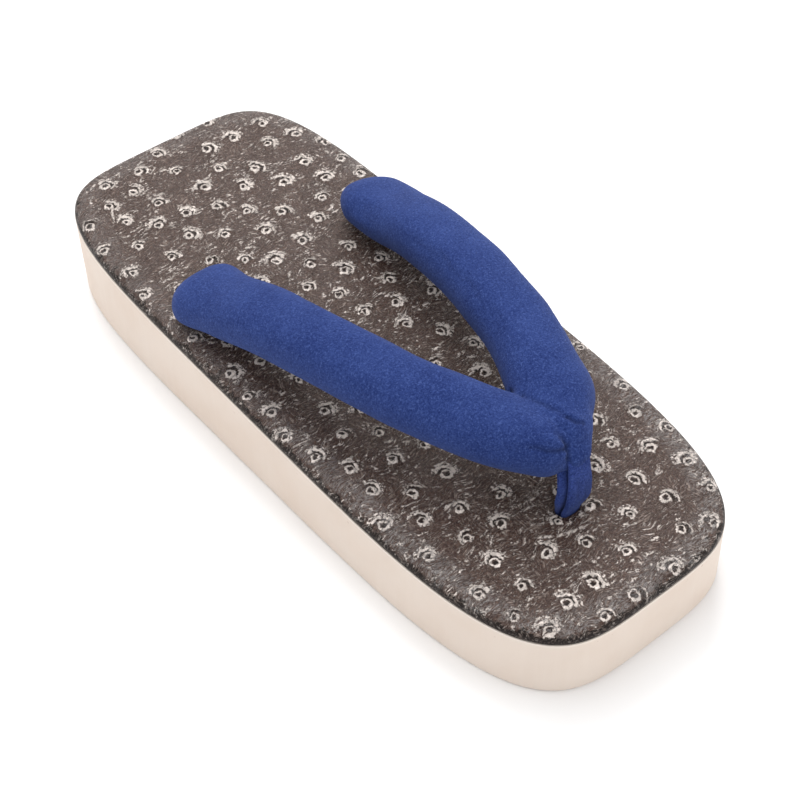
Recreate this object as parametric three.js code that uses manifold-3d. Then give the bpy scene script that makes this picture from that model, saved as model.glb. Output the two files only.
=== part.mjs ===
// Thong sandal on a flat wedge platform. One shoe, with an outline that fits either foot.
// Millimetres, +Z up. The toe points to -Y and the heel to +Y. The wearer's right is -X.
// The origin is on the floor, under the centre of the whole sandal.

import * as THREE from "three";
import { mergeVertices } from "three/addons/utils/BufferGeometryUtils.js";
import Module from "manifold-3d";

const wasm = await Module();
wasm.setup();

// Platform
const LENGTH = 261;
const WIDTH = 107;
const TOE_SQUARENESS = 4.1; // exponent of the rounded end
const HEEL_SQUARENESS = 5.1; // a larger exponent gives a squarer end
const TOP_HEIGHT = 31; // of the footbed, halfway along
const WEDGE_SLOPE = 0.034; // the footbed rises this much for each millimetre towards the heel
const FLOOR_EDGE = 0.6; // small bevel round the underside
const BASE_LEAN = 0.8; // the underside sits this far towards the toe
const OUTLINE_STEPS = 96;

// Cover of the footbed, wrapped over the platform's top edge
const COVER_WALL = 1.2;
const COVER_EDGE_RADIUS = 2.6;
const COVER_DROP = 3.4; // how far down the side its lower edge is
const COVER_INSET = 0.2; // its outer face sits this far in from the platform's side
const EDGE_STEPS = 3;

// Clearance between pieces that touch
const GAP = 0.3;

// Thong holes, with a pocket under each for the tied end
const FRONT_HOLE = { x: 0, y: -90.4, radius: 4.8 };
const REAR_HOLE = { x: 36, y: 45, radius: 3.7 };
const POCKET = { radius: 12, depth: 11 };
const ROUND_STEPS = 24;

// Padded straps, from the rear hole to where the two meet at the front.
// rise is the height of the strap's middle above the footbed, x is for the wearer's left strap.
const STRAP_ROWS = [
  { y: 45, x: 36.1, rise: 8.1, halfWidth: 13.2, halfThickness: 7.7 },
  { y: 34, x: 35.5, rise: 10.6, halfWidth: 13.3, halfThickness: 8.5 },
  { y: 14, x: 33.2, rise: 17.1, halfWidth: 12.9, halfThickness: 9.0 },
  { y: -14, x: 28.9, rise: 22.1, halfWidth: 12.8, halfThickness: 9.1 },
  { y: -42, x: 22.2, rise: 24.1, halfWidth: 12.8, halfThickness: 9.2 },
  { y: -64, x: 13.3, rise: 23.8, halfWidth: 12.9, halfThickness: 9.5 },
  { y: -79, x: 2.6, rise: 21.8, halfWidth: 11.6, halfThickness: 9.4 },
];
const STRAP_TILT = 5; // degrees, outer edge down
const STRAP_FULLNESS = 2.3; // exponent of the strap's section
const STRAP_STATIONS = 24;
const STRAP_SIDES = 20;
const STRAP_REAR_CAP = 11;
const STRAP_FRONT_CAP = 10;
const CAP_TURNS = [20, 42, 65]; // degrees round a rounded end

// Cord that ties each end under the sole
const CORD_RADIUS = 3;
const KNOT = { radius: 8, top: 9, bottom: 1.6, edge: 3 };

// Toe post: a flat band that goes up in front of the straps, over them, and down behind the nose.
const POST_ROWS = [
  { y: -91.7, rise: -20, halfWidth: 3.7 },
  { y: -91.7, rise: -10, halfWidth: 3.7 },
  { y: -91.7, rise: -1, halfWidth: 3.8 },
  { y: -93.0, rise: 6, halfWidth: 4.8 },
  { y: -92.9, rise: 13, halfWidth: 5.0 },
  { y: -92.1, rise: 20, halfWidth: 4.9 },
  { y: -90.8, rise: 25.6, halfWidth: 4.9 },
  { y: -87.6, rise: 28.2, halfWidth: 4.8 },
  { y: -84.6, rise: 25.6, halfWidth: 4.6 },
  { y: -84.2, rise: 19, halfWidth: 4.5 },
  { y: -87.2, rise: 12.6, halfWidth: 4.5 },
  { y: -90.2, rise: 7, halfWidth: 4.5 },
  { y: -89.1, rise: -1, halfWidth: 3.8 },
  { y: -89.1, rise: -10, halfWidth: 3.7 },
  { y: -89.1, rise: -20, halfWidth: 3.7 },
];
const POST_HALF_THICKNESS = 1.1;
const POST_FULLNESS = 3.2;
const POST_STATIONS = 42;
const POST_SIDES = 12;

// The underside stands out at the toe, so the outline is moved back to centre the whole.
const CENTRE_Y = BASE_LEAN / 2;

function topHeight(y) {
  return TOP_HEIGHT + WEDGE_SLOPE * y;
}

// Point of the platform's outline at an angle, moved outwards by offset.
function outlinePoint(angle, offset) {
  const across = Math.cos(angle);
  const along = Math.sin(angle);
  const power = along < 0 ? TOE_SQUARENESS : HEEL_SQUARENESS;
  const reach = (Math.abs(across) ** power + Math.abs(along) ** power) ** (-1 / power);
  const point = new THREE.Vector2((across * reach * WIDTH) / 2, (along * reach * LENGTH) / 2);
  const normal = new THREE.Vector2(
    (Math.sign(across) * Math.abs(across * reach) ** (power - 1)) / WIDTH,
    (Math.sign(along) * Math.abs(along * reach) ** (power - 1)) / LENGTH,
  ).normalize();
  return point.addScaledVector(normal, offset);
}

// One ring of the platform's outline. height(y) gives its level, lean moves it towards the toe.
function outlineRing(offset, height, lean = 0) {
  const ring = [];
  for (let i = 0; i < OUTLINE_STEPS; i += 1) {
    const point = outlinePoint((i / OUTLINE_STEPS) * 2 * Math.PI, offset);
    const y = point.y + CENTRE_Y - lean;
    ring.push(new THREE.Vector3(point.x, y, height(y)));
  }
  return ring;
}

function middleOf(ring) {
  const middle = new THREE.Vector3();
  for (const point of ring) middle.add(point);
  return middle.divideScalar(ring.length);
}

// Closed surface through a stack of rings, with a fan to a pole at each end.
function loft(rings, startPole = middleOf(rings[0]), endPole = middleOf(rings[rings.length - 1])) {
  const count = rings[0].length;
  const points = [...rings.flat(), startPole, endPole];
  const start = points.length - 2;
  const end = points.length - 1;
  const lastRing = (rings.length - 1) * count;
  const faces = [];
  for (let i = 0; i < count; i += 1) {
    const next = (i + 1) % count;
    faces.push(start, next, i);
    faces.push(end, lastRing + i, lastRing + next);
    for (let r = 0; r < lastRing; r += count) {
      faces.push(r + i, r + next, r + count + next);
      faces.push(r + i, r + count + next, r + count + i);
    }
  }
  return new THREE.BufferGeometry().setFromPoints(points).setIndex(faces);
}

function solidFrom(geometry) {
  geometry.deleteAttribute("normal");
  geometry.deleteAttribute("uv");
  const merged = mergeVertices(geometry, 1e-4);
  const mesh = new wasm.Mesh({
    numProp: 3,
    vertProperties: merged.getAttribute("position").array,
    triVerts: new Uint32Array(merged.getIndex().array),
  });
  return new wasm.Manifold(mesh);
}

function geometryFrom(solid) {
  const mesh = solid.getMesh();
  const geometry = new THREE.BufferGeometry();
  geometry.setAttribute("position", new THREE.BufferAttribute(mesh.vertProperties, 3));
  geometry.setIndex(new THREE.BufferAttribute(mesh.triVerts, 1));
  const faceted = geometry.toNonIndexed();
  faceted.computeVertexNormals();
  return faceted;
}

// Upright round pin from one height to another, used to cut holes and pockets.
function pin(x, y, radius, bottom, top) {
  const geometry = new THREE.CylinderGeometry(radius, radius, top - bottom, ROUND_STEPS);
  geometry.rotateX(Math.PI / 2);
  geometry.translate(x, y, (top + bottom) / 2);
  return solidFrom(geometry);
}

function thongHoles() {
  return [
    FRONT_HOLE,
    REAR_HOLE,
    { ...REAR_HOLE, x: -REAR_HOLE.x },
  ];
}

function cutThongHoles(solid) {
  let cut = solid;
  for (const hole of thongHoles()) {
    cut = cut.subtract(pin(hole.x, hole.y, hole.radius, -1, TOP_HEIGHT * 2));
  }
  return cut;
}

// Rings round the top edge, at a depth under the cover's outer face.
function edgeRings(depth) {
  const rings = [];
  const radius = COVER_EDGE_RADIUS - depth;
  for (let i = 0; i <= EDGE_STEPS; i += 1) {
    const turn = (i / EDGE_STEPS) * (Math.PI / 2);
    const offset = radius * Math.cos(turn) - COVER_EDGE_RADIUS - COVER_INSET;
    const drop = COVER_EDGE_RADIUS - radius * Math.sin(turn);
    rings.push(outlineRing(offset, (y) => topHeight(y) - drop));
  }
  return rings;
}

function rimHeight(y) {
  return topHeight(y) - COVER_DROP;
}

function makeSole() {
  const coverDepth = COVER_WALL + GAP;
  const rings = [
    outlineRing(-FLOOR_EDGE, () => 0, BASE_LEAN),
    outlineRing(0, () => FLOOR_EDGE, BASE_LEAN),
    outlineRing(0, (y) => rimHeight(y) - GAP),
    outlineRing(-COVER_INSET - coverDepth, (y) => rimHeight(y) - GAP),
    ...edgeRings(coverDepth),
  ];
  let sole = cutThongHoles(solidFrom(loft(rings)));
  for (const hole of thongHoles()) {
    sole = sole.subtract(pin(hole.x, hole.y, POCKET.radius, -1, POCKET.depth));
  }
  return sole;
}

function makeFootbed() {
  const rings = [
    ...edgeRings(COVER_WALL).reverse(),
    outlineRing(-COVER_INSET - COVER_WALL, rimHeight),
    outlineRing(-COVER_INSET, rimHeight),
    ...edgeRings(0),
  ];
  return cutThongHoles(solidFrom(loft(rings)));
}

// Rounded section, across and up being its half-axes.
function sectionRing(centre, across, up, fullness, sides) {
  const ring = [];
  for (let i = 0; i < sides; i += 1) {
    const angle = (i / sides) * 2 * Math.PI;
    const c = Math.cos(angle);
    const s = Math.sin(angle);
    const reach = (Math.abs(c) ** fullness + Math.abs(s) ** fullness) ** (-1 / fullness);
    ring.push(centre.clone().addScaledVector(across, c * reach).addScaledVector(up, s * reach));
  }
  return ring;
}

// Smooth line through the rows of a table. A row without x is on the middle line.
function lineThrough(rows, side) {
  const points = rows.map((row) => {
    const x = side * (row.x ?? 0);
    return new THREE.Vector3(x, row.y, topHeight(row.y) + row.rise);
  });
  return new THREE.CatmullRomCurve3(points, false, "centripetal");
}

// The rows' sizes, as a curve that keeps in step with lineThrough: x is half the width, y half the thickness.
function sizesThrough(rows) {
  const sizes = rows.map((row) => {
    return new THREE.Vector3(row.halfWidth, row.halfThickness ?? POST_HALF_THICKNESS, 0);
  });
  return new THREE.CatmullRomCurve3(sizes, false, "catmullrom", 0.5);
}

// side is 1 for the strap on the wearer's left and -1 for the one on the right.
function makeStrap(side) {
  const line = lineThrough(STRAP_ROWS, side);
  const sizes = sizesThrough(STRAP_ROWS);
  const tilt = THREE.MathUtils.degToRad(STRAP_TILT);
  // A section at a place along the line, pushed forwards by reach and shrunk by scale in a rounded end.
  const sectionAt = (place, reach, scale) => {
    const along = line.getTangent(place);
    const size = sizes.getPoint(place).multiplyScalar(scale);
    const outward = new THREE.Vector3(0, 0, side).cross(along).normalize();
    outward.applyAxisAngle(along, -tilt * side);
    const across = outward.clone().multiplyScalar(size.x * side);
    const up = along.clone().cross(outward).multiplyScalar(size.y * side);
    const centre = line.getPoint(place).addScaledVector(along, reach);
    return sectionRing(centre, across, up, STRAP_FULLNESS, STRAP_SIDES);
  };
  const capSection = (place, capLength, turn) => {
    const angle = THREE.MathUtils.degToRad(turn);
    return sectionAt(place, capLength * Math.sin(angle), Math.cos(angle));
  };
  const rings = [];
  for (const turn of CAP_TURNS.toReversed()) rings.push(capSection(0, STRAP_REAR_CAP, -turn));
  for (let i = 0; i <= STRAP_STATIONS; i += 1) rings.push(sectionAt(i / STRAP_STATIONS, 0, 1));
  for (const turn of CAP_TURNS) rings.push(capSection(1, STRAP_FRONT_CAP, turn));
  const rearTip = line.getPoint(0).addScaledVector(line.getTangent(0), -STRAP_REAR_CAP);
  const frontTip = line.getPoint(1).addScaledVector(line.getTangent(1), STRAP_FRONT_CAP);
  return solidFrom(loft(rings, rearTip, frontTip));
}

// Cord end with its knot, turned round an upright axis.
function tiedEnd(x, y, top) {
  const profile = [
    new THREE.Vector2(0, KNOT.bottom),
    new THREE.Vector2(KNOT.radius - KNOT.edge, KNOT.bottom),
    new THREE.Vector2(KNOT.radius, KNOT.bottom + KNOT.edge),
    new THREE.Vector2(KNOT.radius, KNOT.top - KNOT.edge / 2),
    new THREE.Vector2(KNOT.radius - KNOT.edge / 2, KNOT.top),
    new THREE.Vector2(CORD_RADIUS, KNOT.top),
    new THREE.Vector2(CORD_RADIUS, top),
    new THREE.Vector2(0, top),
  ];
  const geometry = new THREE.LatheGeometry(profile, ROUND_STEPS);
  geometry.rotateX(Math.PI / 2);
  geometry.translate(x, y, 0);
  return solidFrom(geometry);
}

// The band of the toe post, with clearance added all round when it cuts its own way.
function postBand(clearance) {
  const line = lineThrough(POST_ROWS, 1);
  const sizes = sizesThrough(POST_ROWS);
  const rings = [];
  for (let i = 0; i <= POST_STATIONS; i += 1) {
    const place = i / POST_STATIONS;
    const size = sizes.getPoint(place);
    const across = new THREE.Vector3(size.x + clearance, 0, 0);
    const out = new THREE.Vector3(-1, 0, 0).cross(line.getTangent(place)).normalize();
    out.multiplyScalar(size.y + clearance);
    rings.push(sectionRing(line.getPoint(place), across, out, POST_FULLNESS, POST_SIDES));
  }
  return solidFrom(loft(rings));
}

function makeStraps() {
  const cordTop = topHeight(REAR_HOLE.y) + STRAP_ROWS[0].rise;
  let straps = makeStrap(1).add(makeStrap(-1));
  for (const x of [REAR_HOLE.x, -REAR_HOLE.x]) {
    straps = straps.add(tiedEnd(x, REAR_HOLE.y, cordTop));
  }
  return straps.subtract(postBand(GAP));
}

function makeToePost() {
  const cordTop = KNOT.top + CORD_RADIUS / 2;
  return postBand(0).add(tiedEnd(FRONT_HOLE.x, FRONT_HOLE.y, cordTop));
}

const foam = new THREE.MeshStandardMaterial({ color: 0xe5d6c8, roughness: 0.8, metalness: 0 });
const embossedCover = new THREE.MeshStandardMaterial({ color: 0x6a5f5a, roughness: 0.5, metalness: 0 });
const strapCloth = new THREE.MeshStandardMaterial({ color: 0x3c5086, roughness: 0.95, metalness: 0 });
const postCloth = new THREE.MeshStandardMaterial({ color: 0x374a82, roughness: 0.95, metalness: 0 });

function named(name, solid, material) {
  const mesh = new THREE.Mesh(geometryFrom(solid), material);
  mesh.name = name;
  return mesh;
}

const sandal = new THREE.Group();
sandal.add(named("sole", makeSole(), foam));
sandal.add(named("footbed", makeFootbed(), embossedCover));
sandal.add(named("straps", makeStraps(), strapCloth));
sandal.add(named("toe_post", makeToePost(), postCloth));

export default sandal;
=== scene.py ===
import math
from functools import reduce

import bmesh
import bpy
import numpy as np
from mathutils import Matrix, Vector, noise
from mathutils.kdtree import KDTree


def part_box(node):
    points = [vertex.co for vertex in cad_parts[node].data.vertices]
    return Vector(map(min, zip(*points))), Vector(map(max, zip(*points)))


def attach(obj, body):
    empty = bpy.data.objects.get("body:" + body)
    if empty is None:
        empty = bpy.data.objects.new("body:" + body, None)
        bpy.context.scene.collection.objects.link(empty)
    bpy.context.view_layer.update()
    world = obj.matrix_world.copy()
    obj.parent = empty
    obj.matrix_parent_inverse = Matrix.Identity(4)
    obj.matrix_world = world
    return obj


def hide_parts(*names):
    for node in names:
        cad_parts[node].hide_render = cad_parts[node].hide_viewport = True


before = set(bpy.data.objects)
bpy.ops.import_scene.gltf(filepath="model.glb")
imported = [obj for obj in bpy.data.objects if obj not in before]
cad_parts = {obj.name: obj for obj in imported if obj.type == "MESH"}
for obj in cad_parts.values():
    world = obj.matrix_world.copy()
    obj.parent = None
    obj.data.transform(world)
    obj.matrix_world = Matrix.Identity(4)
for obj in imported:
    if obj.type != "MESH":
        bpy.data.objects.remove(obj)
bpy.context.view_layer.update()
scene = bpy.context.scene
millimetre = 0.001
print("frame loaded")


# The camera comes first, then the tools that every piece shares.

cameraSetup = {
    "place": (-0.2440, -0.3024, 0.4191),
    "aim": (0.0056, -0.0036, 0.0),
    "lens": 74.0,
}


def addObject(name, data):
    thing = bpy.data.objects.new(name, data)
    scene.collection.objects.link(thing)
    return thing


def placeFacing(thing, place, aim):
    thing.location = place
    thing.rotation_mode = "QUATERNION"
    thing.rotation_quaternion = (Vector(aim) - Vector(place)).to_track_quat("-Z", "Y")


def makeCamera(setup):
    data = bpy.data.cameras.new("camera")
    data.lens = setup["lens"]
    data.clip_start = 0.01
    data.clip_end = 20
    camera = addObject("camera", data)
    placeFacing(camera, setup["place"], setup["aim"])
    scene.camera = camera


makeCamera(cameraSetup)
print("camera placed")


def addPiece(name, points, faces, edges=()):
    mesh = bpy.data.meshes.new(name)
    mesh.from_pydata([tuple(p) for p in points], list(edges), [tuple(f) for f in faces])
    mesh.validate()
    return addObject(name, mesh)


def addLine(name, points):
    return addPiece(name, points, [], [(i, i + 1) for i in range(len(points) - 1)])


def removePiece(piece):
    mesh = piece.data
    bpy.data.objects.remove(piece)
    bpy.data.meshes.remove(mesh)


def applyModifiers(piece):
    graph = bpy.context.evaluated_depsgraph_get()
    plain = bpy.data.meshes.new_from_object(piece.evaluated_get(graph), depsgraph=graph)
    piece.modifiers.clear()
    piece.data = plain
    return piece


def addModifier(piece, kind, **settings):
    modifier = piece.modifiers.new(kind.title(), kind)
    for key, value in settings.items():
        setattr(modifier, key, value)
    return modifier


def mergePieces(name, pieces):
    points, faces = [], []
    for piece in pieces:
        start = len(points)
        points += [v.co.copy() for v in piece.data.vertices]
        faces += [[start + i for i in p.vertices] for p in piece.data.polygons]
        removePiece(piece)
    return addPiece(name, points, faces)


def readEach(items, key):
    values = np.zeros(len(items) * 3, np.float32)
    items.foreach_get(key, values)
    return values.reshape(-1, 3).astype(float)


def readPoints(piece):
    return readEach(piece.data.vertices, "co")


def readNormals(piece):
    return readEach(piece.data.vertex_normals, "vector")


def writePoints(piece, points):
    piece.data.vertices.foreach_set("co", points.astype(np.float32).ravel())
    piece.data.update()


def smoothShade(piece, sharp=None):
    piece.data.polygons.foreach_set("use_smooth", [True] * len(piece.data.polygons))
    if sharp is not None:
        piece.data.set_sharp_from_angle(angle=sharp)


def dress(piece, material, sharp=None):
    piece.data.materials.clear()
    piece.data.materials.append(material)
    smoothShade(piece, sharp)


# Keeps a number for each point of a piece, for its material or for a tree.
def storeValues(piece, name, values):
    attribute = piece.data.attributes.new(name, "FLOAT", "POINT")
    attribute.data.foreach_set("value", np.array(values, np.float32))


# A table as one dictionary for each row, with the names of its columns.
def namedRows(names, rows):
    return [dict(zip(names.split(), row)) for row in rows]


# Distance from each point to a route, and how far along the route its nearest place is, from 0 to 1.
def nearRoute(points, route):
    best = np.full(len(points), 1e9)
    place = np.zeros(len(points))
    lengths = np.linalg.norm(np.diff(route, axis=0), axis=1)
    done = 0.0
    for start, end, length in zip(route, route[1:], lengths):
        along = np.clip((points - start) @ (end - start) / length ** 2, 0, 1)
        away = np.linalg.norm(points - (start + along[:, None] * (end - start)), axis=1)
        closer = away < best
        best = np.where(closer, away, best)
        place = np.where(closer, (done + along * length) / lengths.sum(), place)
        done += length
    return best, place


# Node helpers, for materials and for Geometry Nodes alike.

# The tree that new nodes go into.
bench = {}


def feedSocket(socket, feed):
    if isinstance(feed, bpy.types.NodeSocket):
        bench["tree"].links.new(feed, socket)
    elif feed is not None:
        socket.default_value = feed


def feedNode(node, feeds):
    pairs = feeds.items() if isinstance(feeds, dict) else enumerate(feeds)
    for slot, feed in pairs:
        feedSocket(node.inputs[slot], feed)


def addNode(kind, feeds=(), **settings):
    node = bench["tree"].nodes.new(kind)
    for key, value in settings.items():
        setattr(node, key, value)
    feedNode(node, feeds)
    return node


def outputOf(kind, feeds=(), **settings):
    return addNode(kind, feeds, **settings).outputs[0]


# For nodes whose sockets change with their settings. Only the sockets in use are fed.
def outputInUse(kind, values, **settings):
    node = addNode(kind, **settings)
    for socket, value in zip([s for s in node.inputs if s.enabled], values):
        feedSocket(socket, value)
    return next(s for s in node.outputs if s.enabled)


def calc(operation, *values):
    return outputOf("ShaderNodeMath", values, operation=operation)


def calcVector(operation, *values):
    return outputInUse("ShaderNodeVectorMath", values, operation=operation)


def minus(first, second):
    return calc("SUBTRACT", first, second)


def over(first, second):
    return calc("DIVIDE", first, second)


def product(*values):
    return reduce(lambda done, value: calc("MULTIPLY", done, value), values)


def total(*values):
    return reduce(lambda done, value: calc("ADD", done, value), values)


def splitVector(vector):
    return addNode("ShaderNodeSeparateXYZ", [vector]).outputs


def joinVector(x, y, z):
    return outputOf("ShaderNodeCombineXYZ", [x, y, z])


def smoothStep(value, low, high, least=0.0, most=1.0):
    feeds = {"Value": value, "From Min": low, "From Max": high, "To Min": least, "To Max": most}
    return outputOf("ShaderNodeMapRange", feeds, interpolation_type="SMOOTHSTEP")


# 1 on the line where value is centre, falling to 0 at halfWidth from it.
def ridge(value, centre, halfWidth):
    away = calc("ABSOLUTE", minus(value, centre))
    return minus(1.0, smoothStep(away, 0.0, halfWidth))


# Every tree has a geometry and a material among its inputs, beside the named values given here.
def startTree(name, inputs):
    tree = bpy.data.node_groups.new(name, "GeometryNodeTree")
    bench["tree"] = tree
    kinds = {float: "Float", int: "Int", bool: "Bool"}

    def addSocket(label, kind, way="INPUT"):
        return tree.interface.new_socket(label, in_out=way, socket_type="NodeSocket" + kind)

    addSocket("Geometry", "Geometry")
    for label, value in inputs.items():
        addSocket(label, kinds[type(value)]).default_value = value
    addSocket("Material", "Material")
    addSocket("Geometry", "Geometry", "OUTPUT")
    return tree, addNode("NodeGroupInput").outputs


def endTree(geometry, material):
    whole = outputOf("GeometryNodeRealizeInstances", [geometry])
    painted = outputOf("GeometryNodeSetMaterial", {"Geometry": whole, "Material": material})
    addNode("NodeGroupOutput", [painted])


# Runs a tree on a piece, with its inputs by name, and leaves a plain mesh.
def runTree(piece, tree, values):
    modifier = piece.modifiers.new(tree.name, "NODES")
    modifier.node_group = tree
    for socket in tree.interface.items_tree:
        if socket.in_out == "INPUT" and socket.name in values:
            modifier[socket.identifier] = values[socket.name]
    return applyModifiers(piece)


# Materials.

def startMaterial(name):
    material = bpy.data.materials.new(name)
    material.use_nodes = True
    bench["tree"] = material.node_tree
    return material, material.node_tree.nodes["Principled BSDF"]


def noiseField(place, scale, detail=2.0, roughness=0.5, distortion=0.0, output=0):
    feeds = {"Vector": place, "Scale": scale, "Detail": detail}
    feeds.update({"Roughness": roughness, "Distortion": distortion})
    return addNode("ShaderNodeTexNoise", feeds).outputs[output]


# Object coordinates in millimetres.
def placeInMillimetres():
    place = addNode("ShaderNodeTexCoord").outputs["Object"]
    return stretched(place, 1000.0, 1000.0, 1000.0)


# What a piece has stored at its points under this name.
def fromMesh(name, output="Fac"):
    return addNode("ShaderNodeAttribute", attribute_name=name).outputs[output]


def stretched(vector, x, y, z):
    return calcVector("MULTIPLY", vector, (x, y, z))


# A vector moved about by a noise at place, by up to half of x, y and z each way.
def shaken(vector, x, y, z, place, scale, detail, roughness=0.5):
    field = noiseField(place, scale, detail, roughness, output=1)
    return calcVector("ADD", vector, stretched(calcVector("SUBTRACT", field, (0.5, 0.5, 0.5)), x, y, z))


def blendColour(factor, first, second):
    return addNode("ShaderNodeMix", {0: factor, 6: first, 7: second}, data_type="RGBA").outputs[2]


# A colour with others over it, each given as where it lies, how strongly, and the colour.
def layered(colour, *layers):
    for where, strength, tint in layers:
        colour = blendColour(product(where, strength), colour, tint)
    return colour


def bumpFrom(height, distance, strength=1.0):
    return outputOf("ShaderNodeBump", {"Height": height, "Distance": distance, "Strength": strength})


foamFinish = {
    "cream": (0.738, 0.640, 0.562, 1),
    "warm": (0.708, 0.598, 0.514, 1),
    "pale": (0.810, 0.735, 0.668, 1),
    "speck": (0.42, 0.30, 0.23, 1),
    "roughness": 0.72,
}


def makeFoam(finish):
    material, shader = startMaterial("cream foam")
    place = placeInMillimetres()
    cloud = smoothStep(noiseField(place, 0.035, 3.0), 0.35, 0.68)
    streak = smoothStep(noiseField(stretched(place, 1, 1, 0.08), 0.4, 3.0), 0.45, 0.8)
    below = fromMesh("belowCover")
    trimmed = smoothStep(below, 1.7, 0.5)
    speckle = smoothStep(noiseField(place, 0.55, 1.0), 0.735, 0.775)
    high = smoothStep(below, 6.0, 0.5)
    colour = layered(
        blendColour(cloud, finish["cream"], finish["warm"]),
        (streak, 0.10, finish["pale"]),
        (trimmed, 0.6, finish["pale"]),
        (product(speckle, high), 0.55, finish["speck"]),
    )
    cells = noiseField(place, 2.4, 2.0, 0.6)
    waves = noiseField(stretched(place, 1, 1, 0.15), 0.16, 2.0)
    feedNode(shader, {
        "Base Color": colour,
        "Roughness": finish["roughness"],
        "Specular IOR Level": 0.35,
        "Normal": bumpFrom(total(product(cells, 0.12), product(waves, 0.5)), 0.0006, 0.6),
    })
    return material


coverFinish = {
    "ground": (0.024, 0.0085, 0.0055, 1),
    "worn": (0.106, 0.061, 0.044, 1),
    # A painted sheen: the pale colour of the band near the edge.
    "paintedSheen": (0.300, 0.285, 0.280, 1),
    "hair": (0.43, 0.345, 0.300, 1),
    "quill": (0.90, 0.80, 0.735, 1),
    "pit": (0.012, 0.008, 0.007, 1),
    # Painted shade on the rolled edge.
    "rimShade": (0.016, 0.012, 0.012, 1),
    "shineTint": (1.0, 0.885, 0.84, 1),
    "gloss": 0.44,
    "roughness": 0.27,
    "swirl": 9.0,
}


# Fine pale lines that swirl over the cover, like hair.
def hairLines(place, swirled):
    lengthways = noiseField(stretched(swirled, 0.42, 2.6, 1), 1.0, 3.0, 0.70, 0.3)
    crossways = noiseField(stretched(swirled, 2.3, 0.45, 1), 1.0, 3.0, 0.70, 0.5)
    turned = smoothStep(noiseField(place, 0.10, 1.0), 0.52, 0.60)
    lengthways, crossways = (smoothStep(lines, 0.50, 0.63) for lines in (lengthways, crossways))
    return total(product(lengthways, minus(1.0, turned)), product(crossways, turned))


# A darker copy of the cover for its turned-down edge. Its darker ground colours are painted shade, and its
# gloss and roughness differ too.
edgeShadeFinish = {
    "ground": (0.006, 0.004, 0.0035, 1),
    "worn": (0.030, 0.021, 0.018, 1),
    "gloss": 0.16,
    "roughness": 0.42,
}


# Pale and dark parts of each quill mark, from the place that the quill tree leaves on the mesh.
def quillColours(place):
    near = fromMesh("quillNear")
    spot = shaken(fromMesh("quill", "Vector"), 1.9, 1.9, 0.0, place, 0.42, 1.0)
    x, y, kind = splitVector(shaken(spot, 1.7, 1.7, 0.0, place, 1.15, 3.0, 0.7))
    inCell = smoothStep(near, 5.6, 4.6)
    tear = noiseField(place, 0.95, 3.0, 0.75)
    fromCentre = calcVector("LENGTH", joinVector(x, y, 0.0))
    thicker = smoothStep(total(x, product(y, -0.6)), -1.0, 1.6, 0.56, 1.0)
    ring = ridge(fromCentre, 1.30, thicker)
    pit = smoothStep(fromCentre, 0.85, 0.35)
    arcMiddle = minus(kind, 0.5)
    fromArc = calcVector("LENGTH", joinVector(total(x, product(arcMiddle, 1.4)), minus(y, 0.35), 0.0))
    ahead = smoothStep(total(y, product(x, arcMiddle)), -0.6, 1.2)
    arc = product(ridge(fromArc, 2.75, 0.85), ahead)
    spiky = smoothStep(tear, 0.45, 0.58)
    outer = product(ridge(fromArc, 3.9, 1.2), smoothStep(y, 0.3, 2.0), spiky)
    moat = product(ridge(fromArc, 2.0, 0.65), ahead)
    mark = calc("MAXIMUM", ring, product(arc, smoothStep(kind, 0.04, 0.30, 0.45, 1.0)))
    mark = calc("MAXIMUM", mark, product(outer, smoothStep(kind, 0.15, 0.6, 0.35, 0.9)))
    worn = smoothStep(tear, 0.32, 0.50)
    mark = smoothStep(product(mark, inCell, worn), 0.14, 0.50)
    dark = product(calc("MAXIMUM", pit, moat), inCell)
    return mark, dark, near


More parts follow.
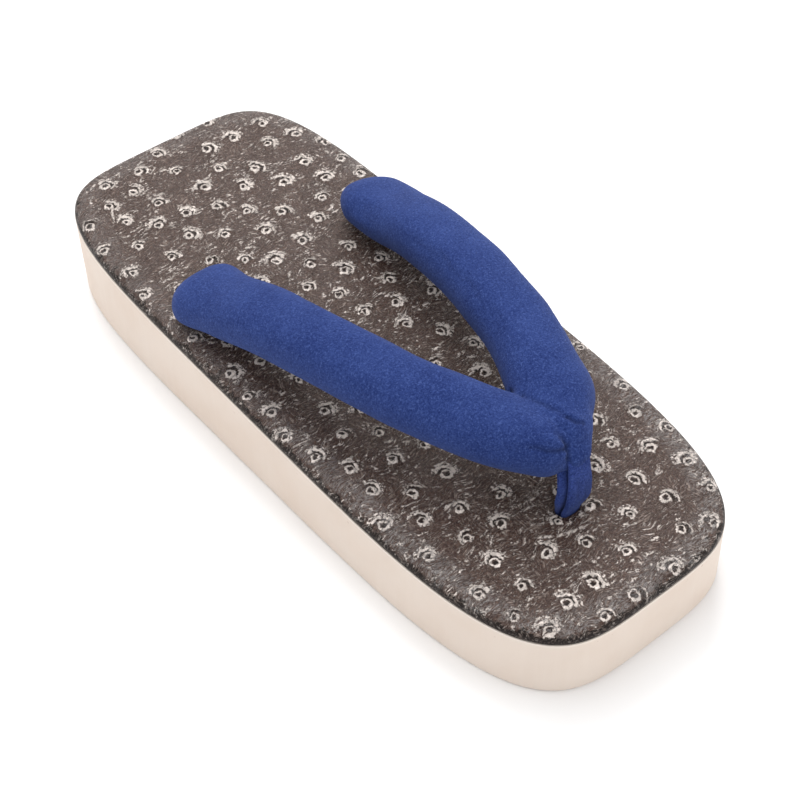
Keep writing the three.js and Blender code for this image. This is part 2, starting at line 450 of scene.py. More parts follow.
def makeCover(name, finish):
    material, shader = startMaterial(name)
    place = placeInMillimetres()
    swirl = finish["swirl"]
    swirled = shaken(place, swirl, swirl, swirl, place, 0.085, 2.0)
    hair = hairLines(place, swirled)
    cloud = smoothStep(noiseField(place, 1.2, 5.0, 0.8), 0.44, 0.64)
    patch = smoothStep(noiseField(place, 0.06, 2.0), 0.35, 0.65, 0.7, 1.0)
    fleck = noiseField(stretched(swirled, 0.34, 1.0, 1), 1.0, 4.0, 0.70)
    crowd = smoothStep(noiseField(place, 0.16, 2.0), 0.36, 0.64, -0.030, 0.050)
    fleck = smoothStep(total(fleck, crowd), 0.588, 0.626)
    fleck = product(fleck, smoothStep(noiseField(place, 1.5, 2.0, 0.6), 0.36, 0.52))
    mark, dark, near = quillColours(place)
    away = minus(1.0, product(smoothStep(near, 3.6, 2.6), 0.9))
    wrinkle = smoothStep(fromMesh("wrinkle"), 0.25, 0.8)
    wrinkle = product(wrinkle, smoothStep(noiseField(place, 0.7), 0.35, 0.5))
    # A paler band some millimetres in from the edge, stronger towards the toe, is a painted sheen. It stands
    # in for the lamps' reflection on the cover's rolled edge.
    toeward = smoothStep(splitVector(place)["Y"], 20, -70, 0.5, 1.0)
    wander = product(minus(noiseField(place, 0.12, 2.0), 0.5), 8.0)
    fromEdge = total(fromMesh("fromEdge"), wander)
    sheenBand = product(smoothStep(fromEdge, 12.0, 5.0), smoothStep(fromEdge, 0.8, 2.4), toeward)
    lines = smoothStep(noiseField(stretched(swirled, 0.50, 2.4, 1), 1.0, 4.0, 0.75), 0.47, 0.58)
    # Low on the rolled edge the cover is painted darker: painted shade where the edge turns down.
    rimShade = smoothStep(fromMesh("belowTop"), 0.9, 2.2)
    colour = layered(
        blendColour(product(cloud, patch), finish["ground"], finish["worn"]),
        (hair, 0.60, finish["hair"]),
        (dark, 0.9, finish["pit"]),
        (product(fleck, away), 0.86, finish["quill"]),
        (mark, 0.95, finish["quill"]),
        (wrinkle, 0.85, finish["quill"]),
        # Painted sheen near the edge.
        (product(sheenBand, lines), 0.68, finish["paintedSheen"]),
        (rimShade, 0.6, finish["rimShade"]),
    )
    shine = smoothStep(noiseField(place, 1.6, 2.0), 0.3, 0.7, -0.07, 0.09)
    height = total(
        product(hair, 0.40),
        product(noiseField(place, 0.75, 2.0, 0.6), 0.55),
        product(noiseField(place, 2.6, 2.0, 0.6), 0.35),
        product(fleck, 0.5),
        product(mark, 0.6),
        product(dark, -0.5),
        product(wrinkle, 0.6),
    )
    feedNode(shader, {
        "Base Color": colour,
        "Roughness": total(shine, finish["roughness"], product(rimShade, -0.08)),
        "Specular IOR Level": finish["gloss"],
        "Specular Tint": finish["shineTint"],
        "Normal": bumpFrom(height, 0.0007),
    })
    return material


clothFinish = {
    "low": (0.006, 0.017, 0.098, 1),
    "high": (0.034, 0.063, 0.222, 1),
    # Painted sheen on spots of lifted nap.
    "napSheen": (0.062, 0.104, 0.300, 1),
    # The crease colour is painted shade, laid into the cloth's creases and seams.
    "crease": (0.004, 0.007, 0.030, 1),
    "roughness": 0.92,
}


def makeCloth(name, finish):
    material, shader = startMaterial(name)
    place = placeInMillimetres()
    patch = noiseField(place, 0.09, 3.0, 0.6)
    fibre = noiseField(place, 1.7, 3.0, 0.7, 0.5)
    fine = noiseField(place, 4.2, 1.0)
    tone = total(product(patch, 0.16), product(fibre, 0.54), product(fine, 0.30))
    # Paler spots where the nap is lifted: painted sheen of the brushed fibres.
    sheenSpots = smoothStep(noiseField(place, 1.5, 2.0, 0.6), 0.52, 0.70)
    colour = layered(
        blendColour(smoothStep(tone, 0.36, 0.64), finish["low"], finish["high"]),
        (sheenSpots, 0.60, finish["napSheen"]),
        # Painted shade in the creases and seams.
        (fromMesh("crease"), 0.8, finish["crease"]),
    )
    feedNode(shader, {
        "Base Color": colour,
        "Roughness": finish["roughness"],
        "Specular IOR Level": 0.12,
        "Sheen Weight": 0.12,
        "Sheen Roughness": 0.45,
        "Sheen Tint": (0.55, 0.65, 1.0, 1),
        "Normal": bumpFrom(total(product(fibre, 0.6), product(fine, 0.4)), 0.00035, 0.9),
    })
    return material


foam = makeFoam(foamFinish)
cover = makeCover("embossed cover", coverFinish)
shadedCoverEdge = makeCover("embossed cover edge, shaded", {**coverFinish, **edgeShadeFinish})
strapCloth = makeCloth("brushed blue cloth", clothFinish)
# The toe post's cloth is the strap cloth with a lighter, bluer tone: painted light that makes up for the
# shade the post sits in.
postClothLightened = makeCloth("toe post cloth, lightened", {**clothFinish, "high": (0.042, 0.072, 0.275, 1)})
thread = makeCloth("blue thread", {**clothFinish, "high": (0.03, 0.05, 0.16, 1)})
print("materials made")


# The platform: a foam sole and the cover that is glued over its top edge.

soleLow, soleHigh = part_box("sole")
coverLow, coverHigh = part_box("footbed")

platform = {
    "toeSquareness": 4.1,
    "heelSquareness": 5.1,
    "baseLean": 0.8 * millimetre,
    "coverDrop": 3.4 * millimetre,
    "coverInset": 0.2 * millimetre,
    "coverWall": 1.2 * millimetre,
    "coverRound": 2.6 * millimetre,
    "crownDrop": 0.9 * millimetre,
    "crownReach": 12 * millimetre,
    "gap": 0.3 * millimetre,
    "width": soleHigh.x - soleLow.x,
}
platform["length"] = soleHigh.y - soleLow.y - platform["baseLean"]
platform["centre"] = (soleHigh.y + soleLow.y + platform["baseLean"]) / 2
platform["slope"] = coverHigh.z - coverLow.z - platform["coverDrop"]
platform["slope"] /= coverHigh.y - coverLow.y - platform["coverRound"]
platform["topMiddle"] = coverHigh.z - platform["slope"] * (coverHigh.y - platform["coverRound"])

holes = {
    "front": (0.0, -90.4 * millimetre, 4.8 * millimetre),
    "left": (36 * millimetre, 45 * millimetre, 3.7 * millimetre),
    "right": (-36 * millimetre, 45 * millimetre, 3.7 * millimetre),
    "pocketRadius": 12 * millimetre,
    "pocketDepth": 11 * millimetre,
    "pocketEdge": 0.8 * millimetre,
    "pinReach": 9 * millimetre,
}


def topHeight(y):
    return platform["topMiddle"] + platform["slope"] * y


# Points of the outline at the given angles, moved outwards by offset and towards the toe by lean.
def outlinePoints(angles, offset, lean=0.0):
    across, along = np.cos(angles), np.sin(angles)
    power = np.where(along < 0, platform["toeSquareness"], platform["heelSquareness"])
    reach = (np.abs(across) ** power + np.abs(along) ** power) ** (-1 / power)
    unit = np.stack([across * reach, along * reach], 1)
    size = np.array([platform["width"], platform["length"]])
    normal = np.sign(unit) * np.abs(unit) ** (power - 1)[:, None] / size
    normal /= np.linalg.norm(normal, axis=1)[:, None]
    points = unit * size / 2 + normal * offset
    points[:, 1] += platform["centre"] - lean
    return points


# Closed shell through levels, each an offset, a height and a lean, from the one inside to the last one.
# One end is a fine grid that fills the outline and the other end a plain fan.
def platformShell(name, levels, steps, gridFirst):
    stepsAcross, stepsAlong = steps
    a, b = np.meshgrid(np.linspace(-1, 1, stepsAcross + 1), np.linspace(-1, 1, stepsAlong + 1))
    index = np.arange(a.size).reshape(a.shape)
    loop = np.concatenate([index[0, :-1], index[:-1, -1], index[-1, :0:-1], index[:0:-1, 0]])
    angles = np.arctan2(b, a).ravel()
    share = np.maximum(np.abs(a), np.abs(b)).ravel()[:, None]

    def levelPoints(level, chosen):
        offset, height, lean = level
        flat = outlinePoints(angles[chosen], offset, lean)
        middle = np.array([0.0, platform["centre"] - lean])
        flat = middle + (flat - middle) * share[chosen]
        return np.column_stack([flat, height(flat[:, 1])])

    gridLevel = levels[0] if gridFirst else levels[-1]
    points = [levelPoints(gridLevel, np.arange(a.size))]
    rings = []
    start = a.size
    for level in levels:
        if level is gridLevel:
            rings.append(loop)
            continue
        points.append(levelPoints(level, loop))
        rings.append(np.arange(start, start + len(loop)))
        start += len(loop)
    corner = index[:-1, :-1].ravel()
    patch = np.stack([corner, corner + 1, corner + a.shape[1] + 1, corner + a.shape[1]], 1)
    faces = [patch[:, ::-1] if gridFirst else patch]
    for lower, upper in zip(rings, rings[1:]):
        faces.append(np.stack([lower, np.roll(lower, -1), np.roll(upper, -1), upper], 1))
    faces = [face for block in faces for face in block.tolist()]
    fan = rings[-1] if gridFirst else rings[0]
    points = np.vstack(points)
    points = np.vstack([points, points[fan].mean(0)])
    for i, nextOne in zip(fan, np.roll(fan, -1)):
        faces.append([start, int(i), int(nextOne)] if gridFirst else [start, int(nextOne), int(i)])
    return addPiece(name, points, faces)


# Upright pin through rows of height and radius. oval gives a half-width, half-depth and squareness instead.
def roundPin(name, x, y, rows, sides=40, oval=(1.0, 1.0, 2.0)):
    points, faces = [], []
    wide, deep, power = oval
    for height, radius in rows:
        for i in range(sides):
            c, s = (f(2 * math.pi * i / sides) for f in (math.cos, math.sin))
            reach = radius * (abs(c) ** power + abs(s) ** power) ** (-1 / power)
            points.append((x + c * reach * wide, y + s * reach * deep, height))
    for row in range(len(rows) - 1):
        for i in range(sides):
            k = row * sides
            nextOne = (i + 1) % sides
            faces.append((k + i, k + nextOne, k + sides + nextOne, k + sides + i))
    faces.append(tuple(reversed(range(sides))))
    faces.append(tuple(range((len(rows) - 1) * sides, len(rows) * sides)))
    return addPiece(name, points, faces)


def cutWith(piece, tools):
    for tool in tools:
        addModifier(piece, "BOOLEAN", operation="DIFFERENCE", solver="EXACT", object=tool)
    applyModifiers(piece)
    for tool in tools:
        removePiece(tool)


def edgeLevels(depth, steps):
    levels = []
    radius = platform["coverRound"] - depth
    for i in range(steps + 1):
        turn = (i / steps) * math.pi / 2
        offset = radius * math.cos(turn) - platform["coverRound"] - platform["coverInset"]
        drop = platform["coverRound"] - radius * math.sin(turn)
        levels.append((offset, lambda y, drop=drop: topHeight(y) - drop, 0.0))
    return levels


def rimHeight(y):
    return topHeight(y) - platform["coverDrop"]


def fromOutline(points):
    edge = outlinePoints(np.linspace(0, 2 * math.pi, 1440, endpoint=False), -platform["coverInset"])
    finder = KDTree(len(edge))
    for i, (x, y) in enumerate(edge):
        finder.insert((x, y, 0), i)
    finder.balance()
    return np.array([finder.find((x, y, 0))[2] for x, y, z in points])


# The glued cover falls a little towards its edge all round.
def settleCrown(points):
    fromEdge = fromOutline(points)
    near = np.clip(1 - fromEdge / platform["crownReach"], 0, 1)
    share = np.clip((points[:, 2] - rimHeight(points[:, 1])) / platform["coverDrop"], 0, 1)
    points[:, 2] -= near * near * share * platform["crownDrop"]


soleShape = {
    "steps": (54, 132),
    "bottomRound": 1.4 * millimetre,
    "roundSteps": 5,
    "sideSteps": 12,
    "waviness": 0.16 * millimetre,
    "waveLength": 30 * millimetre,
    "sharp": math.radians(38),
}


def makeSole(shape):
    inside = platform["coverWall"] + platform["gap"]
    bottomRound = shape["bottomRound"]
    levels = []
    for i in range(shape["roundSteps"] + 1):
        turn = (i / shape["roundSteps"]) * math.pi / 2
        height = bottomRound * (1 - math.cos(turn))
        offset = bottomRound * (math.sin(turn) - 1)
        levels.append((offset, lambda y, height=height: height + 0 * y, platform["baseLean"]))
    ledge = platform["gap"]
    for i in range(1, shape["sideSteps"] + 1):
        part = i / shape["sideSteps"]
        lean = platform["baseLean"] * (1 - part)

        def sideHeight(y, part=part):
            return bottomRound + (rimHeight(y) - ledge - bottomRound) * part

        levels.append((0.0, sideHeight, lean))
    levels.append((-platform["coverInset"] - inside, lambda y: rimHeight(y) - ledge, 0.0))
    levels += edgeLevels(inside, 4)
    sole = platformShell("sole_block", levels, shape["steps"], True)
    points = readPoints(sole)
    normals = readNormals(sole)
    for i, point in enumerate(points):
        if abs(normals[i][2]) < 0.5:
            wave = noise.noise(Vector(point) / shape["waveLength"])
            points[i, :2] += normals[i, :2] * wave * shape["waviness"]
    settleCrown(points)
    writePoints(sole, points)
    tools = []
    for key in ("front", "left", "right"):
        x, y, radius = holes[key]
        edge, pocket, depth = (holes[name] for name in ("pocketEdge", "pocketRadius", "pocketDepth"))
        rows = [
            (-2 * millimetre, pocket + edge),
            (0.0, pocket + edge),
            (edge, pocket),
            (depth - edge, pocket),
            (depth, pocket - edge),
            (depth, radius),
            (topHeight(y) + 5 * millimetre, radius),
        ]
        tools.append(roundPin("pin_" + key, x, y, rows))
    cutWith(sole, tools)
    points = readPoints(sole)
    below = (rimHeight(points[:, 1]) - points[:, 2]) / millimetre
    storeValues(sole, "belowCover", below)
    dress(sole, foam, shape["sharp"])
    return sole


sole = makeSole(soleShape)
print("sole made", len(sole.data.polygons))


# Geometry Nodes raise the cover's quill marks. Each mark is a ring with a pit, and an arc behind it.

quillTree, feed = startTree("quill marks", {
    "Spacing": 0.011,
    "Density": 30000.0,
    "Seed": 1,
    "Turn": 0.0,
    "Turn Spread": 0.5,
    "Unit": 0.001,
    "Unit Spread": 0.1,
    "Relief": 0.0003,
})


def buildQuillTree(feed):
    normal = outputOf("GeometryNodeInputNormal")
    upward = smoothStep(splitVector(normal)["Z"], 0.90, 0.985)
    marks = addNode("GeometryNodeDistributePointsOnFaces", {
        "Mesh": feed["Geometry"],
        "Selection": outputOf("FunctionNodeCompare", [upward, 0.5], operation="GREATER_THAN"),
        "Distance Min": feed["Spacing"],
        "Density Max": feed["Density"],
        "Seed": feed["Seed"],
    }, distribute_method="POISSON").outputs["Points"]
    position = outputOf("GeometryNodeInputPosition")
    nearest = outputOf("GeometryNodeSampleNearest", {"Geometry": marks, "Sample Position": position})
    feeds = {"Geometry": marks, "Value": position, "Index": nearest}
    centre = outputOf("GeometryNodeSampleIndex", feeds, data_type="FLOAT_VECTOR")

    def chance(seed, low, high):
        return outputInUse("FunctionNodeRandomValue", (low, high, nearest, seed), data_type="FLOAT")

    def stored(geometry, name, value, kind):
        feeds = {"Geometry": geometry, "Name": name, "Value": value}
        return outputOf("GeometryNodeStoreNamedAttribute", feeds, data_type=kind, domain="POINT")

    spread = product(chance(11, -1.0, 1.0), feed["Turn Spread"])
    turn = product(total(spread, feed["Turn"]), -1.0)
    size = product(feed["Unit"], total(1.0, product(chance(12, -1.0, 1.0), feed["Unit Spread"])))
    kind = chance(13, 0.0, 1.0)
    feeds = {"Vector": calcVector("SUBTRACT", position, centre), "Angle": turn}
    turned = outputOf("ShaderNodeVectorRotate", feeds, rotation_type="Z_AXIS")
    x, y = (over(part, size) for part in splitVector(turned)[:2])
    fromCentre = calcVector("LENGTH", joinVector(x, y, 0.0))
    fromArc = calcVector("LENGTH", joinVector(x, minus(y, 0.2), 0.0))
    ahead = smoothStep(y, -0.4, 1.0)
    relief = total(
        product(ridge(fromCentre, 1.25, 0.95), 0.9),
        product(ridge(fromCentre, 0.0, 0.9), -0.5),
        product(ridge(fromArc, 3.0, 1.1), ahead, 0.9),
        product(ridge(fromArc, 2.1, 0.7), ahead, -0.7),
        ridge(fromCentre, 0.0, 5.0),
    )
    lift = calcVector("SCALE", normal, product(relief, feed["Relief"], upward))
    marked = stored(feed["Geometry"], "quill", joinVector(x, y, kind), "FLOAT_VECTOR")
    marked = stored(marked, "quillNear", fromCentre, "FLOAT")
    endTree(outputOf("GeometryNodeSetPosition", {"Geometry": marked, "Offset": lift}), feed["Material"])


buildQuillTree(feed)

coverShape = {
    "steps": (142, 348),
    "edgeSteps": 8,
    "dropSteps": 2,
    "trimWave": 0.28 * millimetre,
    "trimLength": 5 * millimetre,
    "dimple": 0.25 * millimetre,
    "dimpleLength": 24 * millimetre,
    "slot": (-0.1 * millimetre, -90.4 * millimetre, 4.3 * millimetre, 2.9 * millimetre),
    "slotPull": 0.9 * millimetre,
    "slotSpread": 0.5,
    "trimBand": 0.35,
    "topBand": 0.2 * millimetre,
    "pulledBand": 0.6 * millimetre,
    "sharp": math.radians(50),
    "wrinkleWidth": 0.55 * millimetre,
    "edgeFrom": 1.2,
    "edgeWander": 1.0,
    "edgeLength": 2.5 * millimetre,
}

# Pale lines where the cover has creased, as x and y in millimetres.
coverWrinkles = [
    [(-17, -92.5), (-10, -96.9), (-5, -98.5), (0.6, -99.6)],
    [(-22.5, 106), (-18, 105.6), (-14, 104.5)],
    [(-37, 103.7), (-35.5, 107.5), (-33, 110.6)],
    [(-37.5, 123), (-34, 123.6), (-31, 125)],
]

quillMarks = {
    "Spacing": 0.0108,
    "Density": 60000.0,
    "Seed": 7,
    "Turn": math.radians(-45),
    "Turn Spread": math.radians(50),
    "Unit": 0.00100,
    "Unit Spread": 0.16,
    "Relief": 0.00030,
}


def makeFootbed(shape, marks):
    wall = platform["coverWall"]
    inset = platform["coverInset"]
    levels = edgeLevels(wall, 4)[::-1]
    levels.append((-inset - wall, rimHeight, 0.0))
    levels.append((-inset, rimHeight, 0.0))
    for i in range(1, shape["dropSteps"] + 1):
        part = i / (shape["dropSteps"] + 1)
        drop = platform["coverDrop"] + (platform["coverRound"] - platform["coverDrop"]) * part
        levels.append((-inset, lambda y, drop=drop: topHeight(y) - drop, 0.0))
    levels += edgeLevels(0.0, shape["edgeSteps"])
    footbed = platformShell("footbed_cover", levels, shape["steps"], False)
    points = readPoints(footbed)
    top = topHeight(points[:, 1])
    for i, point in enumerate(points):
        fromRim = (point[2] - (top[i] - platform["coverDrop"])) / platform["coverDrop"]
        if fromRim < shape["trimBand"]:
            wave = noise.noise(Vector(point) / shape["trimLength"])
            points[i, 2] += abs(wave) * shape["trimWave"] * (1 - fromRim / shape["trimBand"])
        elif top[i] - point[2] < shape["topBand"]:
            points[i, 2] -= abs(noise.noise(Vector(point) / shape["dimpleLength"])) * shape["dimple"]
    x, y, wide, deep = shape["slot"]
    fromSlot = np.hypot((points[:, 0] - x) / wide, (points[:, 1] - y) / deep)
    pulled = np.exp(-np.maximum(fromSlot - 1, 0) ** 2 / shape["slotSpread"]) * shape["slotPull"]
    points[:, 2] -= np.where(top - points[:, 2] < shape["pulledBand"], pulled, 0)
    settleCrown(points)
    writePoints(footbed, points)
    rows = [(0.0, 1.0), (topHeight(y) + holes["pinReach"], 1.0)]
    tools = [roundPin("pin_slot", x, y, rows, 48, (wide, deep, 2.8))]
    for key in ("left", "right"):
        x, y, radius = holes[key]
        rows = [(0.0, radius), (topHeight(y) + holes["pinReach"], radius)]
        tools.append(roundPin("pin_" + key, x, y, rows))
    cutWith(footbed, tools)
    runTree(footbed, quillTree, {**marks, "Material": cover})
    points = readPoints(footbed)
    below = (topHeight(points[:, 1]) - points[:, 2]) / millimetre
    storeValues(footbed, "belowTop", below)
    storeValues(footbed, "fromEdge", fromOutline(points) / millimetre)
    wrinkle = np.zeros(len(points))
    for route in coverWrinkles:
        line = np.array([(x * millimetre, y * millimetre) for x, y in route])
        away, along = nearRoute(points[:, :2], line)
        fade = np.minimum(1, 4 * np.minimum(along, 1 - along) + 0.3)
        wrinkle = np.maximum(wrinkle, np.exp(-(away / shape["wrinkleWidth"]) ** 2) * fade)
    storeValues(footbed, "wrinkle", wrinkle)
    # Faces low on the edge take the darker copy of the cover, painted shade.
    footbed.data.materials.append(shadedCoverEdge)
    for face in footbed.data.polygons:
        middle = np.mean([below[i] for i in face.vertices])
        if middle + noise.noise(face.center / shape["edgeLength"]) * shape["edgeWander"] > shape["edgeFrom"]:
            face.material_index = 1
    smoothShade(footbed, shape["sharp"])
    return footbed


footbed = makeFootbed(coverShape, quillMarks)
print("footbed made", len(footbed.data.polygons))


# Geometry Nodes sweep a rounded section along a line, with a rounded end at each end of it.

tubeTree, feed = startTree("padded tube", {
    "Rings": 60,
    "Sides": 28,
    "Fullness": 2.3,
    "Tilt": 0.0,
    "Side": 1.0,
    "Level Band": False,
    "Slimmer": 0.0,
    "Start Cap": 0.01,
    "End Cap": 0.01,
    "Cap Fullness": 2.0,
})


# The line that a tree is given, as a smooth curve.
def smoothCurve(feed):
    curve = outputOf("GeometryNodeMeshToCurve", [feed["Geometry"]])
    return outputOf("GeometryNodeCurveSplineType", {"Curve": curve}, spline_type="CATMULL_ROM")


def buildTubeTree(feed):
    curve = smoothCurve(feed)
    around = total(feed["Sides"], 1.0)
    grid = outputOf("GeometryNodeMeshGrid", {"Vertices X": feed["Rings"], "Vertices Y": around})
    index = outputOf("GeometryNodeInputIndex")
    ring = calc("FLOOR", over(total(index, 0.5), around))
    alongShare = over(ring, minus(feed["Rings"], 1.0))
    sideShare = over(minus(index, product(ring, around)), feed["Sides"])

    # Rings crowd towards the ends, where the caps curve most.
    length = outputOf("GeometryNodeCurveLength", [curve])
    whole = total(length, feed["Start Cap"], feed["End Cap"])
    eased = over(minus(1.0, calc("COSINE", product(alongShare, math.pi))), 2.0)
    mixedShare = total(product(alongShare, 0.55), product(eased, 0.45))
    reach = minus(product(mixedShare, whole), feed["Start Cap"])
    onLine = calc("MAXIMUM", calc("MINIMUM", reach, length), 0.0)
    before = over(calc("MINIMUM", reach, 0.0), feed["Start Cap"])
    after = over(calc("MAXIMUM", minus(reach, length), 0.0), feed["End Cap"])
    past = calc("POWER", total(calc("ABSOLUTE", before), after), feed["Cap Fullness"])
    left = calc("MAXIMUM", minus(1.0, past), 0.0)
    shrink = calc("POWER", left, over(1.0, feed["Cap Fullness"]))

    def sample(value=None):
        node = addNode("GeometryNodeSampleCurve", {"Curves": curve}, mode="LENGTH", data_type="FLOAT")
        inUse = {s.name: s for s in node.inputs if s.enabled}
        feedSocket(inUse["Length"], onLine)
        if value is not None:
            named = outputOf("GeometryNodeInputNamedAttribute", {"Name": value}, data_type="FLOAT")
            feedSocket(inUse["Value"], named)
        return node.outputs

    line = sample()
    tangent = calcVector("NORMALIZE", line["Tangent"])
    wide, thick = (
        product(minus(sample(key)[0], feed["Slimmer"]), shrink) for key in ("halfWidth", "halfThickness")
    )
    upright = joinVector(0.0, 0.0, feed["Side"])
    outward = calcVector("NORMALIZE", calcVector("CROSS_PRODUCT", upright, tangent))
    tilt = product(feed["Tilt"], feed["Side"], -1.0)
    feeds = {"Vector": outward, "Axis": tangent, "Angle": tilt}
    outward = outputOf("ShaderNodeVectorRotate", feeds, rotation_type="AXIS_ANGLE")
    feeds = {"Switch": feed["Level Band"], "False": outward, "True": (1.0, 0.0, 0.0)}
    outward = outputOf("GeometryNodeSwitch", feeds, input_type="VECTOR")
    upward = calcVector("CROSS_PRODUCT", tangent, outward)

    turn = product(sideShare, 2 * math.pi)
    c, s = calc("COSINE", turn), calc("SINE", turn)
    powered = total(*(calc("POWER", calc("ABSOLUTE", part), feed["Fullness"]) for part in (c, s)))
    full = calc("POWER", powered, over(-1.0, feed["Fullness"]))
    steps = (
        (tangent, minus(reach, onLine)),
        (outward, product(c, full, wide)),
        (upward, product(s, full, thick)),
    )
    place = line["Position"]
    for vector, share in steps:
        place = calcVector("ADD", place, calcVector("SCALE", vector, share))
    shaped = outputOf("GeometryNodeSetPosition", {"Geometry": grid, "Position": place})
    closed = outputOf("GeometryNodeMergeByDistance", {"Geometry": shaped, "Distance": 1e-6})
    endTree(closed, feed["Material"])


buildTubeTree(feed)


# A line with its sizes, as the piece that the tube tree starts from. Rows are in millimetres.
def lineFromRows(name, rows, side=1, thickness=None):
    points = []
    for row in rows:
        y = row["y"] * millimetre
        points.append((side * row.get("x", 0.0) * millimetre, y, topHeight(y) + row["rise"] * millimetre))
    line = addLine(name, points)
    for key in ("halfWidth", "halfThickness"):
        storeValues(line, key, [row.get(key, thickness) * millimetre for row in rows])
    return line


def turnOutwards(piece):
    work = bmesh.new()
    work.from_mesh(piece.data)
    bmesh.ops.remove_doubles(work, verts=work.verts, dist=1e-7)
    bmesh.ops.recalc_face_normals(work, faces=work.faces)
    work.to_mesh(piece.data)
    work.free()


# Straps

strapRows = namedRows("y x rise halfWidth halfThickness", [
    (45, 36.1, 8.1, 13.2, 7.7),
    (34, 35.5, 10.6, 13.3, 8.5),
    (14, 33.2, 17.1, 12.9, 9.0),
    (-14, 28.9, 22.1, 12.8, 9.1),
    (-42, 22.2, 24.1, 12.8, 9.2),
    (-64, 13.3, 23.8, 12.9, 9.5),
    (-79, 2.6, 21.8, 11.6, 9.4),
])

# The cloth is drawn together at the front and goes down into the toe post.
noseRows = namedRows("y x rise halfWidth halfThickness", [
    (-77.0, 5.5, 23.0, 11.0, 6.0),
    (-84.0, 5.2, 23.8, 9.0, 4.6),
    (-89.2, 3.0, 21.6, 5.8, 2.9),
    (-90.8, 2.0, 18.8, 5.0, 2.3),
])

# Where the padding sits fuller to one side, as soft moves in millimetres. rise is above the footbed.
strapPulls = namedRows("x y rise reach move", [
    (20, -74, 22, 15, (1.7, -1.3, 0.0)),
    (36, 57, 8, 14, (-1.6, 2.0, -0.4)),
    (-46, 46, 4, 14, (-1.9, -0.6, -0.8)),
    (-34, 57, 9, 18, (0.0, -1.6, -0.5)),
])

# Creases. A negative depth is a ridge. start and end are the strength at each end.
# shade is the width, in millimetres, of the painted shade along each crease.
strapCreases = namedRows("depth width shade start end route", [
    (0.8, 0.9, 0.7, 1.0, 0.3,
     [(0.8, -60.8, 25.6), (0.3, -67.5, 29.4), (1.2, -72, 30.4), (3.0, -78.5, 31), (4.0, -82.6, 30.8)]),
    (0.7, 3.6, 0.01, 1.0, 0.6, [(4.4, -63, 27), (5.2, -71, 29.5), (7.5, -80, 29.5)]),
    (0.7, 0.7, 0.6, 0.8, 0.5,
     [(4.0, -82.6, 30.8), (4.7, -84.4, 30.2), (5.5, -85.4, 29.7), (8.0, -86.3, 28.2)]),
    (-0.5, 1.2, 0.01, 1.0, 0.6, [(5.6, -82.8, 30.2), (7.6, -84.6, 29)]),
    (1.0, 0.8, 0.7, 0.3, 1.0,
     [(-11.5, -83, 28.8), (-9.6, -84.7, 28.6), (-7.8, -86.9, 27.9), (-5.4, -88.3, 27.5),
      (-2.2, -89.2, 26.8)]),
    (-0.5, 1.7, 0.01, 0.4, 1.0, [(-9, -82.5, 29.6), (-5, -85.4, 29.3)]),
    (1.1, 0.9, 0.8, 0.3, 1.0, [(-2.2, -84.8, 29.9), (-1.4, -87, 28.8), (-1.1, -89, 26.8)]),
    (0.9, 0.7, 0.7, 1.0, 0.7, [(-1.1, -89, 26.8), (-2.2, -90.3, 23.8), (-2.2, -91, 19.5)]),
    (0.6, 0.6, 0.5, 0.3, 0.8, [(3.9, -91, 23.4), (3.5, -91.8, 21.6), (3.0, -92.2, 19.6)]),
    (0.35, 1.8, 0.01, 1.0, 0.0, [(-14, -82, 27.5), (-19, -77, 27.2), (-24, -71, 26.4)]),
    (0.4, 1.8, 0.01, 0.6, 0.0, [(14, -72, 27.5), (18, -66, 26.8), (21, -60, 26)]),
])

strapMake = {
    "rings": 90,
    "sides": 40,
    "fullness": 2.3,
    "tilt": math.radians(5),
    "rearCap": 11.6 * millimetre,
    "frontCap": 10.5 * millimetre,
    "noseCap": 1.5 * millimetre,
    "capFullness": 2.25,
    "slimmer": 0.12 * millimetre,
    "voxel": 1.15 * millimetre,
    "pressure": 30.0,
    "frames": 16,
    "swell": 0.6 * millimetre,
    "evenOut": 4,
    "seamDepth": 0.7 * millimetre,
    "seamWidth": 0.9 * millimetre,
    "seamShade": 0.7,
    "seamInward": 0.985,
    "lumps": 0.35 * millimetre,
    "lumpLength": 17 * millimetre,
}


# A piece swept through rows by the tube tree.
def sweepRows(name, rows, make, settings, side=1, thickness=None):
    swept = lineFromRows(name, rows, side, thickness)
    sizes = {"Rings": make["rings"], "Sides": make["sides"], "Fullness": make["fullness"]}
    runTree(swept, tubeTree, {**sizes, **settings})
    turnOutwards(swept)
    return swept


def sweepStrap(rows, side, make, levelBand=False):
    return sweepRows("strap_line", rows, make, {
        "Tilt": make["tilt"],
        "Side": float(side),
        "Level Band": levelBand,
        "Slimmer": make["slimmer"],
        "Start Cap": make["noseCap"] if levelBand else make["rearCap"],
        "End Cap": make["noseCap"] if levelBand else make["frontCap"],
        "Cap Fullness": make["capFullness"],
        "Material": strapCloth,
    }, side)


# The padding swells the cloth from inside. No point moves further than the swell allows.
def padOut(piece, make):
    start = readPoints(piece)
    cloth = addModifier(piece, "CLOTH")
    cloth.settings.use_pressure = True
    cloth.settings.uniform_pressure_force = make["pressure"]
    cloth.settings.effector_weights.gravity = 0
    cloth.settings.quality = 5
    cloth.point_cache.frame_start = 1
    cloth.point_cache.frame_end = make["frames"]
    for step in range(1, make["frames"] + 1):
        scene.frame_set(step)
    graph = bpy.context.evaluated_depsgraph_get()
    swollen = readPoints(piece.evaluated_get(graph))
    piece.modifiers.clear()
    scene.frame_set(1)
    move = swollen - start
    far = np.linalg.norm(move, axis=1)[:, None]
    print("cloth moved", np.round(np.percentile(far, [5, 50, 95, 100]) / millimetre, 2))
    writePoints(piece, start + move * np.minimum(1, make["swell"] / np.maximum(far, 1e-9)))


def onFootbed(x, y, rise):
    return np.array([x * millimetre, y * millimetre, topHeight(y * millimetre) + rise * millimetre])


